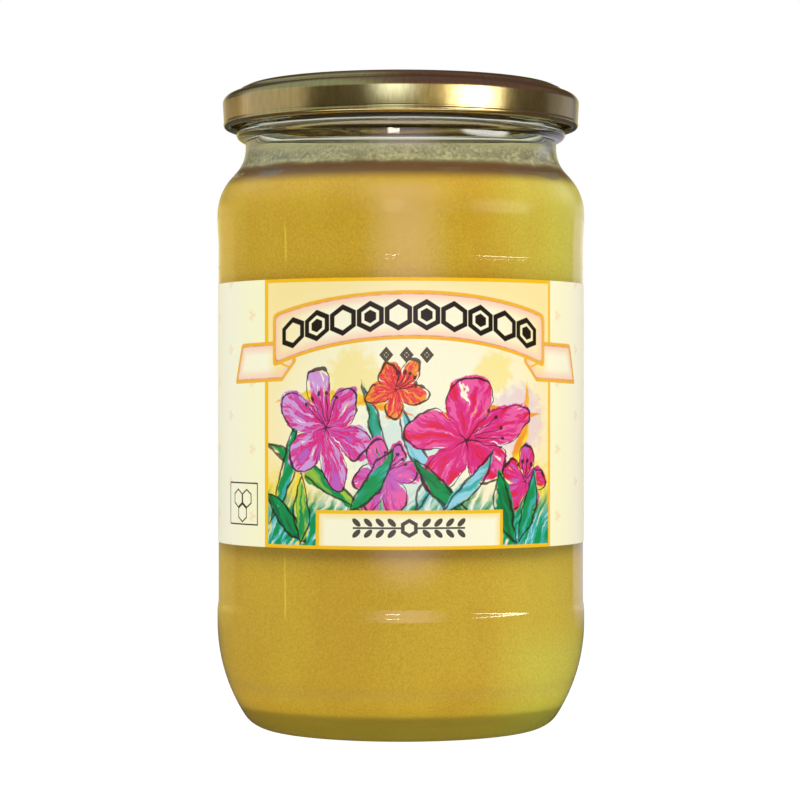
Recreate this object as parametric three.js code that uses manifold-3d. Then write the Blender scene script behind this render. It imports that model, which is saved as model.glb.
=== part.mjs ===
import * as THREE from 'three';
import { mergeVertices } from 'three/addons/utils/BufferGeometryUtils.js';
import Module from 'manifold-3d';

// A round jar of creamed honey: moulded glass, pressed metal twist lid, paper label.
// Millimetres, +Z up. The jar's axis is the Z axis, it stands on Z = 0 and its front faces -Y.

// Facets round the axis. Every round piece shares them, so that thin gaps stay even.
const SIDES = 60;
const FACET_ANGLE = (2 * Math.PI) / SIDES;

// Glass, outside
const BODY_RADIUS = 44.17;
const PANEL_RADIUS = 43.9;
const PUSH_UP_RADIUS = 28.5;
const PUSH_UP_HEIGHT = 1.6;
const FOOT_CURVE_RADIUS = 7.3;
const HEEL_CURVE_RADIUS = 41.5;
const HEEL_TOP = 25.5;
const LOWER_RING_TOP = 28;
const PANEL_BOTTOM = 31;
const PANEL_TOP = 117.3;
const UPPER_RING_BOTTOM = 120;
const SHOULDER_BOTTOM = 123.1;
const SHOULDER_CURVE_RADIUS = 12.9;
const NECK_CURVE_RADIUS = 9.2;
const NECK_RADIUS = 37.4;
const NECK_BOTTOM = 139.1;
const BEAD_RADIUS = 39.64;
const BEAD_CENTRE = 142.4;
const BEAD_HALF_HEIGHT = 1.8;
const FINISH_RADIUS = 38;
const RIM_HEIGHT = 153;
const RIM_CURVE_RADIUS = 0.9;

// Glass, inside
const WALL = 3;
const FLOOR_CENTRE_HEIGHT = 7;
const FLOOR_EDGE_HEIGHT = 6.3;
const FLOOR_CORNER_RADIUS = 7.5;
const BORE_RADIUS = 35.1;
const MOUTH_RADIUS = 35.6;

// Threads on the glass, which the lid's lugs ride under
const THREADS = 6;
const THREAD_RADIUS = 39.3;
const THREAD_SPAN = 8 * FACET_ANGLE;
const THREAD_THICKNESS = 0.9;
const THREAD_BEVEL = 0.4;
const THREAD_LOW = 146.6;
const THREAD_RISE = 2.4;

// Honey
const HONEY_GAP = 0.1;
const HONEY_LEVEL = 130.2;
const HONEY_CLIMB = 0.6;
const HONEY_CLIMB_WIDTH = 2.5;

// Lid
const SHEET = 0.35;
const LID_BOTTOM = 143.7;
const CURL_RADIUS = 0.95;
const CURL_OUTER_RADIUS = 42.73;
const SKIRT_TOP_RADIUS = 42.88;
const SKIRT_BOTTOM_RADIUS = 42.66;
const CORNER_BOTTOM = 149.75;
const CORNER_WIDTH = 3.58;
const CORNER_HEIGHT = 2.5;
const CREST_RADIUS = 36.3;
const CREST_HEIGHT = 153.95;
const CENTRE_PANEL_RADIUS = 33.6;
const CENTRE_PANEL_HEIGHT = 153.1;
const BUTTON_RADIUS = 14;
const BUTTON_RISE = 0.45;
const BUTTON_SLOPE = 2.2;
const LINER_INNER_RADIUS = 34.6;
const LINER_OUTER_RADIUS = 38.8;
const LINER_BOTTOM = 153.06;
const LUGS = 6;
const LUG_SPAN = 2 * FACET_ANGLE;
const LUG_INNER_RADIUS = 39.9;
const LUG_BEVEL = 0.3;

// Label
const LABEL_BOTTOM = 44.7;
const LABEL_HEIGHT = 61.5;
const LABEL_GAP = 0.03;
const LABEL_THICKNESS = 0.11;
const FLAP_FACETS = 2;

const wasm = await Module();
wasm.setup();

// Points along an arc, or an ellipse's arc, from one angle to another. Angles in degrees.
function arc(centreX, centreY, radiusX, from, to, steps, radiusY = radiusX) {
  const points = [];
  for (let i = 0; i <= steps; i += 1) {
    const angle = THREE.MathUtils.degToRad(from + ((to - from) * i) / steps);
    const x = centreX + radiusX * Math.cos(angle);
    points.push(new THREE.Vector2(x, centreY + radiusY * Math.sin(angle)));
  }
  return points;
}

function point(radius, height) {
  return new THREE.Vector2(radius, height);
}

// Turns a half outline, which runs up the outside, round the Z axis.
function turned(outline) {
  const geometry = new THREE.LatheGeometry(outline, SIDES);
  geometry.rotateX(Math.PI / 2);
  return geometry;
}

// A flat piece of ring between two radii, centred on an angle, with its edges bevelled.
function ringPiece(inner, outer, span, height, bevel) {
  const facets = Math.round(span / FACET_ANGLE);
  const shape = new THREE.Shape();
  for (let i = 0; i <= facets; i += 1) {
    const angle = -span / 2 + i * FACET_ANGLE;
    const x = (outer - bevel) * Math.cos(angle);
    const y = (outer - bevel) * Math.sin(angle);
    if (i === 0) shape.moveTo(x, y);
    else shape.lineTo(x, y);
  }
  for (let i = facets; i >= 0; i -= 1) {
    const angle = -span / 2 + i * FACET_ANGLE;
    shape.lineTo((inner + bevel) * Math.cos(angle), (inner + bevel) * Math.sin(angle));
  }
  const geometry = new THREE.ExtrudeGeometry(shape, {
    depth: height - 2 * bevel,
    bevelThickness: bevel,
    bevelSize: bevel,
    bevelSegments: 1,
  });
  geometry.translate(0, 0, bevel);
  return geometry;
}

// A three.js geometry as a solid that can be joined to others.
function solid(geometry) {
  const bare = geometry.clone();
  bare.deleteAttribute('normal');
  bare.deleteAttribute('uv');
  const merged = mergeVertices(bare, 1e-4);
  const mesh = new wasm.Mesh({
    numProp: 3,
    vertProperties: new Float32Array(merged.attributes.position.array),
    triVerts: new Uint32Array(merged.index.array),
  });
  mesh.merge();
  return new wasm.Manifold(mesh);
}

function geometryOf(manifold) {
  const mesh = manifold.getMesh();
  const geometry = new THREE.BufferGeometry();
  geometry.setAttribute('position', new THREE.BufferAttribute(mesh.vertProperties, 3));
  geometry.setIndex(new THREE.BufferAttribute(mesh.triVerts, 1));
  return geometry;
}

// The heel: a tight curve off the foot runs into a wide one up to the body.
function heelCurve() {
  const rise = (HEEL_TOP - FOOT_CURVE_RADIUS) / (HEEL_CURVE_RADIUS - FOOT_CURVE_RADIUS);
  const turn = THREE.MathUtils.radToDeg(Math.acos(rise));
  const reach = (HEEL_CURVE_RADIUS - FOOT_CURVE_RADIUS) * Math.sin(Math.acos(rise));
  const footCentre = BODY_RADIUS - HEEL_CURVE_RADIUS + reach;
  const tight = arc(footCentre, FOOT_CURVE_RADIUS, FOOT_CURVE_RADIUS, -90, turn - 90, 4);
  const wide = arc(BODY_RADIUS - HEEL_CURVE_RADIUS, HEEL_TOP, HEEL_CURVE_RADIUS, turn - 90, 0, 5);
  return tight.concat(wide.slice(1));
}

// The shoulder: bends in, runs straight and bends back up into the neck.
// The straight stretch is what is left of the height between the two bends.
function shoulderCurve(body, neck, bottom, top, convex, concave, steps) {
  const drop = body - neck;
  const rise = top - bottom;
  const sum = convex + concave;
  const reach = Math.sqrt(rise ** 2 + drop ** 2 - 2 * sum * drop);
  const turn = 2 * Math.atan2(drop, rise + reach);
  const degrees = THREE.MathUtils.radToDeg(turn);
  const lower = arc(body - convex, bottom, convex, 0, degrees, steps);
  const upper = arc(neck + concave, top, concave, 180 + degrees, 180, steps);
  return lower.concat(upper);
}

function glassOutside() {
  return [
    point(0, PUSH_UP_HEIGHT),
    point(PUSH_UP_RADIUS * 0.8, PUSH_UP_HEIGHT * 0.75),
    point(PUSH_UP_RADIUS, 0),
    ...heelCurve(),
    point(BODY_RADIUS, LOWER_RING_TOP),
    point(PANEL_RADIUS, PANEL_BOTTOM),
    point(PANEL_RADIUS, PANEL_TOP),
    point(BODY_RADIUS, UPPER_RING_BOTTOM),
    ...shoulderCurve(
      BODY_RADIUS, NECK_RADIUS, SHOULDER_BOTTOM, NECK_BOTTOM,
      SHOULDER_CURVE_RADIUS, NECK_CURVE_RADIUS, 4,
    ),
    ...arc(NECK_RADIUS, BEAD_CENTRE, BEAD_RADIUS - NECK_RADIUS, -90, 60, 4, BEAD_HALF_HEIGHT),
    point(FINISH_RADIUS, BEAD_CENTRE + BEAD_HALF_HEIGHT),
    ...arc(FINISH_RADIUS - RIM_CURVE_RADIUS, RIM_HEIGHT - RIM_CURVE_RADIUS, RIM_CURVE_RADIUS, 0, 90, 3),
  ];
}

// The inside of the glass from the mouth down to the middle of the floor.
function glassInside() {
  const inner = BODY_RADIUS - WALL;
  const cornerCentre = inner - FLOOR_CORNER_RADIUS;
  const shoulder = shoulderCurve(
    inner, BORE_RADIUS, SHOULDER_BOTTOM - 0.5, NECK_BOTTOM - 0.5,
    SHOULDER_CURVE_RADIUS - WALL * 0.7, NECK_CURVE_RADIUS + WALL * 0.7, 4,
  );
  const corner = arc(
    cornerCentre, FLOOR_EDGE_HEIGHT + FLOOR_CORNER_RADIUS, FLOOR_CORNER_RADIUS, 0, -90, 4,
  );
  return [
    point(MOUTH_RADIUS, RIM_HEIGHT - 0.5),
    point(BORE_RADIUS, RIM_HEIGHT - 5),
    ...shoulder.reverse(),
    ...corner,
    point(0, FLOOR_CENTRE_HEIGHT),
  ];
}

function threads() {
  const piece = ringPiece(
    FINISH_RADIUS - 0.6, THREAD_RADIUS, THREAD_SPAN, THREAD_THICKNESS, THREAD_BEVEL,
  );
  const position = piece.attributes.position;
  for (let i = 0; i < position.count; i += 1) {
    const along = Math.atan2(position.getY(i), position.getX(i)) / THREAD_SPAN + 0.5;
    position.setZ(i, position.getZ(i) + THREAD_LOW + THREAD_RISE * along);
  }
  return Array.from({ length: THREADS }, (_, i) => {
    return piece.clone().rotateZ((i * 2 * Math.PI) / THREADS);
  });
}

function jarGlass() {
  let glass = solid(turned([...glassOutside(), ...glassInside()]));
  for (const thread of threads()) glass = glass.add(solid(thread));
  const geometry = geometryOf(glass);
  const material = new THREE.MeshStandardMaterial({
    color: '#dfe8dc', roughness: 0.05, metalness: 0, transparent: true, opacity: 0.35,
  });
  return named('jar_glass', geometry, material);
}

// The honey follows the inside of the glass and climbs a little where it wets the wall.
function honey() {
  const inner = BODY_RADIUS - WALL - HONEY_GAP;
  const cornerCentre = inner - FLOOR_CORNER_RADIUS;
  const bottom = FLOOR_EDGE_HEIGHT + HONEY_GAP;
  const shoulder = shoulderCurve(
    inner, BORE_RADIUS - HONEY_GAP, SHOULDER_BOTTOM - 0.5, NECK_BOTTOM - 0.5,
    SHOULDER_CURVE_RADIUS - WALL * 0.7, NECK_CURVE_RADIUS + WALL * 0.7, 4,
  );
  const wetTop = HONEY_LEVEL + HONEY_CLIMB;
  const wetted = shoulder.filter((p) => p.y < wetTop);
  const last = wetted[wetted.length - 1];
  const next = shoulder[wetted.length];
  const share = (wetTop - last.y) / (next.y - last.y);
  const edge = last.clone().lerp(next, share);
  const outline = [
    point(0, FLOOR_CENTRE_HEIGHT + HONEY_GAP),
    ...arc(cornerCentre, bottom + FLOOR_CORNER_RADIUS, FLOOR_CORNER_RADIUS, -90, 0, 4),
    ...wetted,
    edge,
    point(edge.x - HONEY_CLIMB_WIDTH * 0.4, HONEY_LEVEL + HONEY_CLIMB * 0.25),
    point(edge.x - HONEY_CLIMB_WIDTH, HONEY_LEVEL),
    point(0, HONEY_LEVEL),
  ];
  const material = new THREE.MeshStandardMaterial({ color: '#c8a42c', roughness: 0.5, metalness: 0 });
  return named('honey', turned(outline), material);
}

// The lid: a skirt with a rolled foot, a crest over the glass rim, which holds the sealing
// ring, and a sunk middle with a safety button that has been drawn down.
function lidOutline() {
  const curlCentre = point(CURL_OUTER_RADIUS - CURL_RADIUS, LID_BOTTOM + CURL_RADIUS);
  const cornerCentre = point(SKIRT_TOP_RADIUS - CORNER_WIDTH, CORNER_BOTTOM);
  const crestFoot = point(CREST_RADIUS + 1.6, CREST_HEIGHT - 0.45);
  const buttonTop = CENTRE_PANEL_HEIGHT + BUTTON_RISE;
  const skirtInside = SKIRT_BOTTOM_RADIUS - SHEET;
  return [
    point(0, CENTRE_PANEL_HEIGHT - SHEET + BUTTON_RISE),
    point(BUTTON_RADIUS, CENTRE_PANEL_HEIGHT - SHEET + BUTTON_RISE),
    point(BUTTON_RADIUS + BUTTON_SLOPE, CENTRE_PANEL_HEIGHT - SHEET),
    point(CENTRE_PANEL_RADIUS, CENTRE_PANEL_HEIGHT - SHEET),
    point(LINER_INNER_RADIUS, LINER_BOTTOM),
    point(LINER_OUTER_RADIUS, LINER_BOTTOM),
    point(LINER_OUTER_RADIUS + 0.6, CORNER_BOTTOM + CORNER_HEIGHT - SHEET - 0.5),
    point(SKIRT_TOP_RADIUS - SHEET - 1, CORNER_BOTTOM + CORNER_HEIGHT * 0.6 - SHEET),
    point(SKIRT_TOP_RADIUS - SHEET, CORNER_BOTTOM),
    point(skirtInside, LID_BOTTOM + 2 * CURL_RADIUS),
    ...arc(curlCentre.x, curlCentre.y, CURL_RADIUS, 90, 390, 8),
    point(SKIRT_BOTTOM_RADIUS, LID_BOTTOM + CURL_RADIUS * 1.9),
    ...arc(cornerCentre.x, cornerCentre.y, CORNER_WIDTH, 0, 82, 5, CORNER_HEIGHT),
    crestFoot,
    point(CREST_RADIUS, CREST_HEIGHT),
    point(CREST_RADIUS - 1.2, CREST_HEIGHT - 0.25),
    point(CENTRE_PANEL_RADIUS, CENTRE_PANEL_HEIGHT),
    point(BUTTON_RADIUS + BUTTON_SLOPE, CENTRE_PANEL_HEIGHT),
    point(BUTTON_RADIUS, buttonTop),
    point(0, buttonTop),
  ];
}

function lid() {
  let shell = solid(turned(lidOutline()));
  const lugPiece = ringPiece(
    LUG_INNER_RADIUS, CURL_OUTER_RADIUS - CURL_RADIUS, LUG_SPAN, 2 * CURL_RADIUS, LUG_BEVEL,
  );
  lugPiece.translate(0, 0, LID_BOTTOM);
  for (let i = 0; i < LUGS; i += 1) {
    shell = shell.add(solid(lugPiece.clone().rotateZ((i * 2 * Math.PI) / LUGS + Math.PI / 6)));
  }
  const material = new THREE.MeshStandardMaterial({ color: '#c9a95e', roughness: 0.25, metalness: 1 });
  return named('lid', geometryOf(shell), material);
}

// The label goes once round the glass and is lapped over itself at the back, at +Y.
function label() {
  const inner = PANEL_RADIUS + LABEL_GAP;
  const shape = new THREE.Shape();
  const hole = new THREE.Path();
  const back = SIDES / 4;
  for (let i = 0; i < SIDES; i += 1) {
    const angle = i * FACET_ANGLE;
    const lapped = i >= back && i <= back + FLAP_FACETS;
    const outer = inner + LABEL_THICKNESS * (lapped ? 2 : 1);
    const draw = i === 0 ? 'moveTo' : 'lineTo';
    shape[draw](outer * Math.cos(angle), outer * Math.sin(angle));
    hole[draw](inner * Math.cos(angle), inner * Math.sin(angle));
  }
  shape.holes.push(hole);
  const geometry = new THREE.ExtrudeGeometry(shape, { depth: LABEL_HEIGHT, bevelEnabled: false });
  geometry.translate(0, 0, LABEL_BOTTOM);
  const material = new THREE.MeshStandardMaterial({ color: '#f7e9b8', roughness: 0.6, metalness: 0 });
  return named('label', geometry, material);
}

function named(name, geometry, material) {
  const mesh = new THREE.Mesh(geometry, material);
  mesh.name = name;
  return mesh;
}

const jar = new THREE.Group();
jar.add(jarGlass(), honey(), lid(), label());

export default jar;
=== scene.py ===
import math

import bpy
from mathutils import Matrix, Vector


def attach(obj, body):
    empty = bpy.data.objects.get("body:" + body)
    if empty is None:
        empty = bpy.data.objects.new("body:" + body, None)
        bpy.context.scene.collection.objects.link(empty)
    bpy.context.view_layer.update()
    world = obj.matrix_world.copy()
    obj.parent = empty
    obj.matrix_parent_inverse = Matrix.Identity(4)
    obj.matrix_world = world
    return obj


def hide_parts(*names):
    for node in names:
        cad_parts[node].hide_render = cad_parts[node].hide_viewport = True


# A round jar of creamed honey in clear glass, with a gold twist lid and a printed paper label.
# Metres, +Z up. The jar's axis is the Z axis, it stands on Z = 0 and its front faces -Y.

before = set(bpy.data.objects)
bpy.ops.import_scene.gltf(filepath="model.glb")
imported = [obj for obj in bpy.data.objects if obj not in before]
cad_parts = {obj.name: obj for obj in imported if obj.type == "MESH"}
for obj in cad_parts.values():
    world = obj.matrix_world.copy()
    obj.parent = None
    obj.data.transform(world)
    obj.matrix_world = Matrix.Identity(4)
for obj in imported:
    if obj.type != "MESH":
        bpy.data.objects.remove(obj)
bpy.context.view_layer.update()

MM = 0.001

# How many parts a full round and the curves of an outline are made of
SIDES = 192
OUTER_CURVE_PARTS = 16
INNER_CURVE_PARTS = 14
RING_STEP_PARTS = 6

# Room for rounding where vertices are picked by their place, in millimetres like all below
SLACK = 0.05

# Glass, outside. The push-up's curve is in shares of its radius and its height. The ripple's is
# up from its middle, and how far it swells there. The edge gap is from an edge of a contact ring
# to the loop beside it.
BODY_RADIUS = 44.17
PANEL_RADIUS = 43.9
PUSH_UP_RADIUS = 28.5
PUSH_UP_HEIGHT = 1.6
PUSH_UP_CURVE = ((0.25, 1), (0.6, 0.97), (0.85, 0.8), (0.95, 0.4), (1, 0))
FOOT_CURVE_RADIUS = 7.3
HEEL_CURVE_RADIUS = 41.5
HEEL_TOP = 25.5
LOWER_RING_TOP = 28.4
PANEL_BOTTOM = 30.8
PANEL_TOP = 115.5
RIPPLE = 110.4
RIPPLE_CURVE = ((-1.1, 0), (-0.7, 0), (-0.25, 0.05), (0, 0.07), (0.25, 0.05), (0.7, 0), (1.1, 0))
UPPER_RING_BOTTOM = 121.5
EDGE_GAP = 0.5
SHOULDER_BOTTOM = 123.1
SHOULDER_CURVE_RADIUS = 12.9
NECK_CURVE_RADIUS = 9.2
NECK_RADIUS = 37.4
NECK_BOTTOM = 139.1
BEAD_RADIUS = 39.64
BEAD_CENTRE = 142.4
BEAD_HALF_HEIGHT = 1.8
FINISH_RADIUS = 38
FINISH_FOOT_RADIUS = 38.3
FINISH_FOOT_HEIGHT = 144.1
RIM_HEIGHT = 153
RIM_CURVE_RADIUS = 0.9

# Threads on the glass, which the lid's lugs ride under. Each fades out over its ends.
THREADS = 6
THREAD_RADIUS = 39.3
THREAD_SPAN = math.radians(30)
THREAD_END_START = 0.4
THREAD_END_SHARE = 0.1
THREAD_CREST = 0.2
THREAD_HALF_THICKNESS = 0.75
THREAD_LOW = 146.6
THREAD_RISE = 2.4
THREAD_ROOT = 144.5
THREAD_TOP = 151.5
THREAD_ROW = 0.25

# Glass, inside
WALL = 3
FLOOR_MIDDLE_RADIUS = 8.55
FLOOR_MIDDLE_HEIGHT = 6.95
FLOOR_EDGE_HEIGHT = 6.3
FLOOR_CORNER_RADIUS = 7.5
INNER_SHOULDER_BOTTOM = SHOULDER_BOTTOM - 0.5
INNER_SHOULDER_TOP = NECK_BOTTOM - 0.5
INNER_CURVE_CHANGE = WALL * 0.7
BORE_RADIUS = 35.1
BORE_TOP = 148
MOUTH_RADIUS = 35.6
MOUTH_CURVE_RADIUS = 0.5

# Honey, which reaches a little into the wall and climbs it where it wets it
INTO_WALL = 0.05
HONEY_LEVEL = 130.2
HONEY_CLIMB = 0.6
HONEY_CLIMB_WIDTH = 2.5
HONEY_RINGS = (0.85, 0.7, 0.55, 0.4, 0.25, 0.1)
FILM_THICKNESS = 0.22

# Lid. The crest's curve is outwards from the crest, and down from it.
SHEET = 0.35
LID_BOTTOM = 143.7
CURL_RADIUS = 0.95
CURL_OUTER_RADIUS = 42.73
SKIRT_TOP_RADIUS = 42.88
SKIRT_BOTTOM_RADIUS = 42.66
CORNER_BOTTOM = 149.75
CORNER_WIDTH = 3.58
CORNER_HEIGHT = 2.5
CREST_RADIUS = 36.3
CREST_HEIGHT = 153.95
CREST_CURVE = ((1.9, 0.75), (1.2, 0.25), (0.5, 0.03), (0, 0), (-0.6, 0.05), (-1.3, 0.3))
CENTRE_PANEL_RADIUS = 33.6
CENTRE_PANEL_HEIGHT = 153.1
BUTTON_RADIUS = 14
BUTTON_RISE = 0.45
BUTTON_SLOPE = 2.2
LINER_INNER_RADIUS = 34.6
LINER_OUTER_RADIUS = 38.8
LINER_BOTTOM = 153.06
LUGS = 6
LUG_REACH = 1.9
LUG_FULL_ANGLE = math.radians(4.9)
LUG_END_ANGLE = math.radians(4.2)

# Label
LABEL_BOTTOM = 44.7
LABEL_HEIGHT = 61.5
LABEL_INNER_RADIUS = 43.93
LABEL_THICKNESS = 0.11
LABEL_OUTER_RADIUS = LABEL_INNER_RADIUS + LABEL_THICKNESS
LABEL_BEVEL = 0.02
LAP_WIDTH = math.radians(12)
LAP_RUN_OUT = 0.01


def linear(red, green, blue):
    """A colour as a shader takes it, from its red, green and blue out of 255."""
    def one(part):
        part /= 255
        return part / 12.92 if part <= 0.04045 else ((part + 0.055) / 1.055) ** 2.4
    return (one(red), one(green), one(blue), 1)


class Field:
    """A number, colour or direction that a shader works out at each point of a surface."""

    def __init__(self, shader, socket):
        self.shader = shader
        self.socket = socket

    def math(self, operation, *others):
        return self.shader.node("Math", {"operation": operation}, (self, *others))

    def __add__(self, other):
        return self.math("ADD", other)

    def __sub__(self, other):
        return self.math("SUBTRACT", other)

    def __rsub__(self, other):
        return self.shader.node("Math", {"operation": "SUBTRACT"}, (other, self))

    def __mul__(self, other):
        return self.math("MULTIPLY", other)

    def __truediv__(self, other):
        return self.math("DIVIDE", other)

    def __rtruediv__(self, other):
        return self.shader.node("Math", {"operation": "DIVIDE"}, (other, self))

    def __pow__(self, other):
        return self.math("POWER", other)

    def __abs__(self):
        return self.math("ABSOLUTE")

    def __neg__(self):
        return self.math("MULTIPLY", -1)

    __radd__ = __add__
    __rmul__ = __mul__

    def vector(self, operation, *others, output=0):
        return self.shader.node("VectorMath", {"operation": operation}, (self, *others), output)

    def moved(self, offset):
        return self.vector("ADD", offset)

    def stretched(self, factors):
        return self.vector("MULTIPLY", factors)

    def length(self):
        return self.vector("LENGTH", output="Value")

    def flat(self):
        """Its first two parts, for a place on a sheet. It leaves no unused part behind, so
        that a print of many shapes stays within what one shader can hold."""
        across = ((1, 0, 0), (0, 1, 0))
        return [self.vector("DOT_PRODUCT", axis, output="Value") for axis in across]

    def parts(self):
        split = self.shader.node("SeparateXYZ", {}, (self,)).socket.node
        return [Field(self.shader, socket) for socket in split.outputs]


# The sockets of a Mix node that colours go through
MIX_SHARE = 0
MIX_FIRST = 6
MIX_SECOND = 7
MIX_RESULT = 2


class Shader:
    """A material, a lamp or the world, and the one way in which nodes are added to it."""

    def __init__(self, owner):
        owner.use_nodes = True
        self.tree = owner.node_tree
        self.tree.nodes.clear()
        self.owner = owner

    def node(self, kind, settings, inputs=(), output=0):
        """Adds a node, sets it up, and gives its sockets their values or links."""
        made = self.tree.nodes.new("ShaderNode" + kind)
        for name, value in settings.items():
            setattr(made, name, value)
        named = inputs.items() if isinstance(inputs, dict) else enumerate(inputs)
        for key, value in named:
            if isinstance(value, Field):
                self.tree.links.new(value.socket, made.inputs[key])
            elif value is not None:
                made.inputs[key].default_value = value
        return Field(self, made.outputs[output]) if made.outputs else None

    def place(self):
        """The point on the surface, in metres in the jar's own frame."""
        return self.node("TexCoord", {}, output="Object")

    def join(self, x, y, z=0.0):
        return self.node("CombineXYZ", {}, (x, y, z))

    def mix(self, first, second, share):
        inputs = {MIX_SHARE: share, MIX_FIRST: first, MIX_SECOND: second}
        return self.node("Mix", {"data_type": "RGBA"}, inputs, MIX_RESULT)

    def tint(self, first, second):
        settings = {"data_type": "RGBA", "blend_type": "MULTIPLY"}
        inputs = {MIX_SHARE: 1.0, MIX_FIRST: first, MIX_SECOND: second}
        return self.node("Mix", settings, inputs, MIX_RESULT)

    def noise(self, place, scale, detail=2.0, roughness=0.5, output=0):
        """Soft blots. The scale is how many there are in one unit of the place."""
        inputs = {"Vector": place, "Scale": scale, "Detail": detail, "Roughness": roughness}
        return self.node("TexNoise", {}, inputs, output)

    def between(self, value, low, high):
        """0 at the low value, 1 at the high one, and a smooth slope between them. It falls
        where the low value is the larger of the two."""
        return self.node("MapRange", {"interpolation_type": "SMOOTHSTEP"}, (value, low, high))

    def inside(self, distance, softness):
        """1 where a distance is below nought, 0 above it, with an edge of that softness."""
        settings = {"operation": "MULTIPLY_ADD", "use_clamp": True}
        return self.node("Math", settings, (distance, -1 / softness, 0.5))

    def bump(self, height, distance, strength):
        inputs = {"Strength": strength, "Distance": distance, "Height": height}
        return self.node("Bump", {}, inputs)

    def rays(self):
        """Whether the camera sees this itself, mirrored in something, or through glass."""
        path = self.node("LightPath", {}).socket.node.outputs
        seen = Field(self, path["Is Camera Ray"])
        glossy = Field(self, path["Is Glossy Ray"])
        through = Field(self, path["Is Transmission Ray"])
        return seen, glossy * (1 - through), through

    def surface(self, lets_light_in=False, volume=None, **inputs):
        """The finished surface. An input's name is its label with underscores for spaces.

        One that lets light in is clear to lamps and to light from matt things, so that what
        it shuts in is lit as softly as what stands outside it.
        """
        named = {name.replace("_", " "): value for name, value in inputs.items()}
        skin = self.node("BsdfPrincipled", {}, named)
        if lets_light_in:
            shadow = self.node("LightPath", {}, output="Is Shadow Ray")
            scattered = Field(self, shadow.socket.node.outputs["Is Diffuse Ray"])
            clear = self.node("BsdfTransparent", {}, {"Color": inputs["Base_Color"]})
            share = shadow.math("MAXIMUM", scattered)
            skin = self.node("MixShader", {}, (share, skin, clear))
        self.node("OutputMaterial", {}, {"Surface": skin, "Volume": volume})
        return self.owner


def new_shader(name):
    return Shader(bpy.data.materials.new(name))


# Shapes

def arc(centre, radius, start, end, parts, height=None):
    """Points along an arc, or along an ellipse's where it has a height. Angles in degrees."""
    rise = radius if height is None else height
    points = []
    for part in range(parts + 1):
        angle = math.radians(start + (end - start) * part / parts)
        points.append((centre[0] + radius * math.cos(angle), centre[1] + rise * math.sin(angle)))
    return points


def shoulder_curve(body, neck, bottom, top, convex, concave, parts):
    """Bends in, runs straight and bends back up into the neck."""
    drop = body - neck
    rise = top - bottom
    reach = math.sqrt(rise ** 2 + drop ** 2 - 2 * (convex + concave) * drop)
    turn = math.degrees(2 * math.atan2(drop, rise + reach))
    lower = arc((body - convex, bottom), convex, 0, turn, parts)
    upper = arc((neck + concave, top), concave, 180 + turn, 180, parts)
    return lower + upper


def heel_curve():
    """A tight curve off the foot runs into a wide one up to the body."""
    rise = (HEEL_TOP - FOOT_CURVE_RADIUS) / (HEEL_CURVE_RADIUS - FOOT_CURVE_RADIUS)
    turn = math.acos(rise)
    wide_centre = BODY_RADIUS - HEEL_CURVE_RADIUS
    foot_centre = wide_centre + (HEEL_CURVE_RADIUS - FOOT_CURVE_RADIUS) * math.sin(turn)
    lean = math.degrees(turn) - 90
    tight = arc(
        (foot_centre, FOOT_CURVE_RADIUS), FOOT_CURVE_RADIUS, -90, lean, OUTER_CURVE_PARTS,
    )
    wide = arc((wide_centre, HEEL_TOP), HEEL_CURVE_RADIUS, lean, 0, OUTER_CURVE_PARTS)
    return tight + wide[1:]


def inner_shoulder(out=0.0):
    """The inside of the shoulder, or a curve that runs a little outside it."""
    return shoulder_curve(
        BODY_RADIUS - WALL + out, BORE_RADIUS + out, INNER_SHOULDER_BOTTOM, INNER_SHOULDER_TOP,
        SHOULDER_CURVE_RADIUS - INNER_CURVE_CHANGE, NECK_CURVE_RADIUS + INNER_CURVE_CHANGE,
        INNER_CURVE_PARTS,
    )


def inner_floor_corner(out=0.0):
    centre = (BODY_RADIUS - WALL - FLOOR_CORNER_RADIUS, FLOOR_EDGE_HEIGHT + FLOOR_CORNER_RADIUS)
    return arc(centre, FLOOR_CORNER_RADIUS + out, -90, 0, INNER_CURVE_PARTS)


def smooth_step(share):
    share = min(1.0, max(0.0, share))
    return share * share * (3 - 2 * share)


def turned(name, outline, closed=False):
    """A round piece. A ring is drawn out and resized from each point of the outline to the next.

    A closed outline ends where it started. Any other is shut at both ends by a flat disc.
    """
    bpy.ops.object.select_all(action="DESELECT")
    radius, height = outline[0]
    bpy.ops.mesh.primitive_circle_add(
        vertices=SIDES, radius=radius * MM, location=(0, 0, height * MM),
        fill_type="NOTHING" if closed else "TRIFAN",
    )
    piece = bpy.context.object
    piece.name = piece.data.name = name
    bpy.ops.object.mode_set(mode="EDIT")
    bpy.ops.mesh.select_all(action="SELECT")
    if not closed:
        bpy.ops.mesh.region_to_loop()
    for next_radius, next_height in outline[1:]:
        rise = (0, 0, (next_height - height) * MM)
        bpy.ops.mesh.extrude_edges_move(TRANSFORM_OT_translate={"value": rise})
        share = next_radius / radius
        bpy.ops.transform.resize(
            value=(share, share, 1), center_override=(0, 0, next_height * MM),
        )
        radius, height = next_radius, next_height
    if not closed:
        bpy.ops.mesh.extrude_edges_move(TRANSFORM_OT_translate={"value": (0, 0, 0)})
        bpy.ops.mesh.merge(type="CENTER")
    bpy.ops.mesh.select_all(action="SELECT")
    bpy.ops.mesh.remove_doubles(threshold=0.002 * MM)
    bpy.ops.mesh.normals_make_consistent(inside=False)
    bpy.ops.object.mode_set(mode="OBJECT")
    bpy.ops.object.transform_apply(location=True, rotation=True, scale=True)
    return piece


def finished(piece, material, slot, *nodes, sharp=35):
    """Smooths a piece, gives it its material and hides the CAD solids that it stands in for."""
    bpy.ops.object.select_all(action="DESELECT")
    piece.select_set(True)
    bpy.context.view_layer.objects.active = piece
    bpy.ops.object.shade_smooth_by_angle(angle=math.radians(sharp))
    piece.data.materials.clear()
    piece.data.materials.append(material)
    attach(piece, "root")
    if nodes:
        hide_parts(*nodes)
    return piece


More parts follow.
